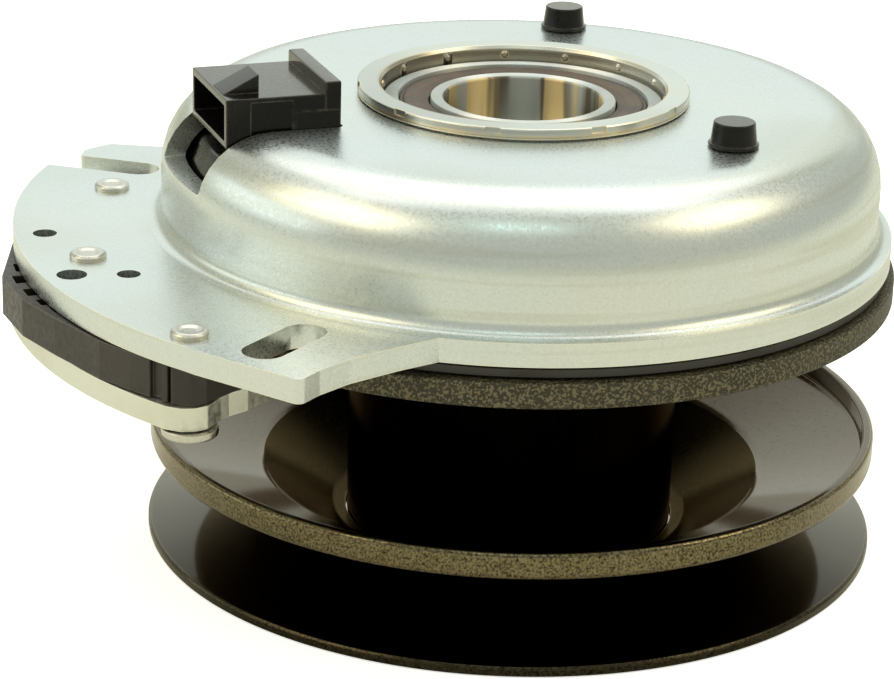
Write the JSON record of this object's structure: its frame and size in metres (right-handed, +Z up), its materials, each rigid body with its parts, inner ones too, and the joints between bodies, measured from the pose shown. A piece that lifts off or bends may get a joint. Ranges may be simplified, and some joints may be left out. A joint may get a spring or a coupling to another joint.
{
  "type": "electromagnetic clutch",
  "caption": "Electric clutch and brake for a belt drive: a coil pulls the armature and its pulley to the shaft rotor, and a magnet brake stops the pulley.",
  "frame": {"origin": "on the shaft axis, at the level of the pulley's lowest rim, on which the clutch stands", "axes": "+Z up along the shaft axis from the pulley to the field, -X towards the brake ear"},
  "size_m": [0.1977, 0.1905, 0.1126],
  "materials": {
    "zinc_steel": "bright zinc plate, satin",
    "pole_steel": "machined and zinc plated, bright",
    "black_plastic": "glossy moulded, fine grain",
    "winding_copper": "enamelled copper",
    "terminal_brass": "tinned brass",
    "bearing_steel": "ground and polished",
    "bearing_seal": "moulded, matt",
    "ball_steel": "polished",
    "rotor_steel": "turned, darkened",
    "hub_steel": "turned, oiled",
    "black_spring_steel": "blackened",
    "black_paint": "satin black coating, fine orange peel",
    "leaf_spring_steel": "cold rolled, blued",
    "rivet_steel": "zinc plated, upset",
    "armature_steel": "blackened, speckled",
    "brake_steel": "zinc plated, blanked edge",
    "holder_plastic": "moulded, satin",
    "magnet_ferrite": "ground ferrite"
  },
  "bodies": {
    "field": {"field_shell": "zinc_steel", "inner_pole": "pole_steel", "coil_housing": "black_plastic", "coil_winding": "winding_copper", "connector_terminal_1": "terminal_brass", "connector_terminal_2": "terminal_brass", "field_bearing_outer_race": "bearing_steel", "field_bearing_upper_seal": "bearing_seal", "field_bearing_lower_seal": "bearing_seal", "brake_plate": "brake_steel", "brake_magnet_holder": "holder_plastic", "brake_magnet_1": "magnet_ferrite", "brake_magnet_2": "magnet_ferrite", "brake_rivet_1": "rivet_steel", "brake_rivet_2": "rivet_steel", "brake_rivet_3": "rivet_steel"},
    "rotor": {"rotor_disc": "rotor_steel", "rotor_hub": "hub_steel", "bearing_spacer": "hub_steel", "hub_retaining_ring": "black_spring_steel", "field_bearing_inner_race": "bearing_steel", "pulley_bearing_inner_race": "bearing_steel"},
    "field_cage": {"field_bearing_balls": "ball_steel"},
    "pulley_cage": {"pulley_bearing_balls": "ball_steel"},
    "pulley": {"pulley_hub": "black_paint", "pulley_upper_flange": "black_paint", "pulley_lower_flange": "black_paint", "pulley_bearing_outer_race": "bearing_steel", "pulley_bearing_upper_seal": "bearing_seal", "pulley_bearing_lower_seal": "bearing_seal", "pulley_retaining_ring": "black_spring_steel", "leaf_spring_1": "leaf_spring_steel", "leaf_spring_2": "leaf_spring_steel", "leaf_spring_3": "leaf_spring_steel", "spring_rivet_1": "rivet_steel", "spring_rivet_2": "rivet_steel", "spring_rivet_3": "rivet_steel"},
    "armature": {"armature_plate": "armature_steel", "armature_rivet_1": "rivet_steel", "armature_rivet_2": "rivet_steel", "armature_rivet_3": "rivet_steel"}
  },
  "joints": [
    {"name": "rotor_spin", "type": "hinge", "parent": "field", "child": "rotor", "pos_m": [0, 0, 0.07], "axis": [0, 0, 1], "continuous": true},
    {"name": "field_cage_spin", "type": "hinge", "parent": "field", "child": "field_cage", "pos_m": [0, 0, 0.0936], "axis": [0, 0, 1], "continuous": true},
    {"name": "pulley_spin", "type": "hinge", "parent": "rotor", "child": "pulley", "pos_m": [0, 0, 0.015], "axis": [0, 0, 1], "continuous": true},
    {"name": "pulley_cage_spin", "type": "hinge", "parent": "rotor", "child": "pulley_cage", "pos_m": [0, 0, 0.015], "axis": [0, 0, 1], "continuous": true},
    {"name": "armature_travel", "type": "slide", "parent": "pulley", "child": "armature", "axis": [0, 0, 1], "range_m": [0, 0.0005], "stiffness_N_per_m": 20000, "springref_m": -0.0005, "deforming": ["leaf_spring_1", "leaf_spring_2", "leaf_spring_3"]}
  ],
  "couplings": [
    {"joint": "field_cage_spin", "follows": "rotor_spin", "ratio": 0.4333},
    {"joint": "pulley_cage_spin", "follows": "pulley_spin", "ratio": 0.5667}
  ]
}
